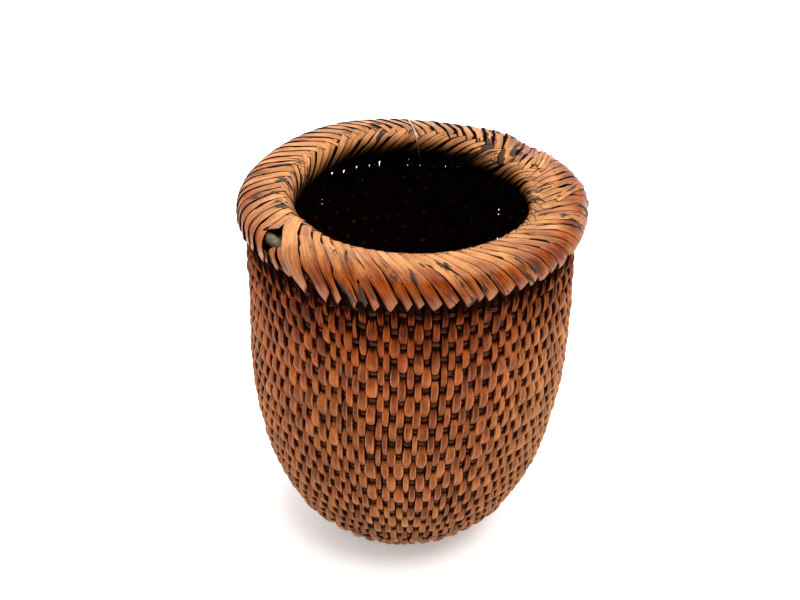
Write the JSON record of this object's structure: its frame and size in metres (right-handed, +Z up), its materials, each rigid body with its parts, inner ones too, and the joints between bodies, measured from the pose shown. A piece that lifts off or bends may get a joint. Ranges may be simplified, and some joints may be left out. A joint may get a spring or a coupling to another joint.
{
  "type": "woven willow basket",
  "caption": "Open-mouthed round basket of woven willow rods with a rounded base and a thick wrapped rim.",
  "frame": {"origin": "centre of the base, on the plane that the basket stands on", "axes": "+Z up along the basket's axis; -Y is the side seen from the front"},
  "size_m": [0.3, 0.3, 0.3444],
  "materials": {
    "willow_rod": "satin, aged orange-brown willow rods",
    "willow_skin": "semi-gloss, flat peeled strips with worn edges",
    "core_rod": "matt, unpeeled grey-green willow",
    "base_willow": "matt, worn dark brown willow",
    "twine": "matt dark brown twisted twine",
    "wire": "thin bright wire"
  },
  "bodies": {
    "root": {"base_hoop": "base_willow", "base_rods": "base_willow", "base_wefts": "base_willow", "base_border": "base_willow", "long_rods_01": "willow_rod", "added_rods_01": "willow_rod", "long_rods_02": "willow_rod", "added_rods_02": "willow_rod", "long_rods_03": "willow_rod", "added_rods_03": "willow_rod", "long_rods_04": "willow_rod", "added_rods_04": "willow_rod", "long_rods_05": "willow_rod", "added_rods_05": "willow_rod", "long_rods_06": "willow_rod", "added_rods_06": "willow_rod", "long_rods_07": "willow_rod", "added_rods_07": "willow_rod", "long_rods_08": "willow_rod", "added_rods_08": "willow_rod", "twine_row_01": "twine", "twine_row_02": "twine", "twine_row_03": "twine", "twine_row_04": "twine", "twine_row_05": "twine", "twine_row_06": "twine", "twine_row_07": "twine", "twine_row_08": "twine", "twine_row_09": "twine", "twine_row_10": "twine", "twine_row_11": "twine", "twine_row_12": "twine", "twine_row_13": "twine", "twine_row_14": "twine", "twine_row_15": "twine", "twine_row_16": "twine", "twine_row_17": "twine", "twine_row_18": "twine", "twine_row_19": "twine", "twine_row_20": "twine", "twine_row_21": "twine", "twine_row_22": "twine", "rim_inner_hoop": "core_rod", "rim_middle_hoop": "core_rod", "rim_top_hoop": "core_rod", "rim_outer_hoop": "core_rod", "rim_upper_filler": "core_rod", "rim_lower_filler": "core_rod", "rim_outer_strips_back": "willow_skin", "rim_outer_strips_front": "willow_skin", "rim_inner_strips_back": "willow_skin", "rim_inner_strips_front": "willow_skin", "tie_wire": "wire"}
  },
  "joints": []
}
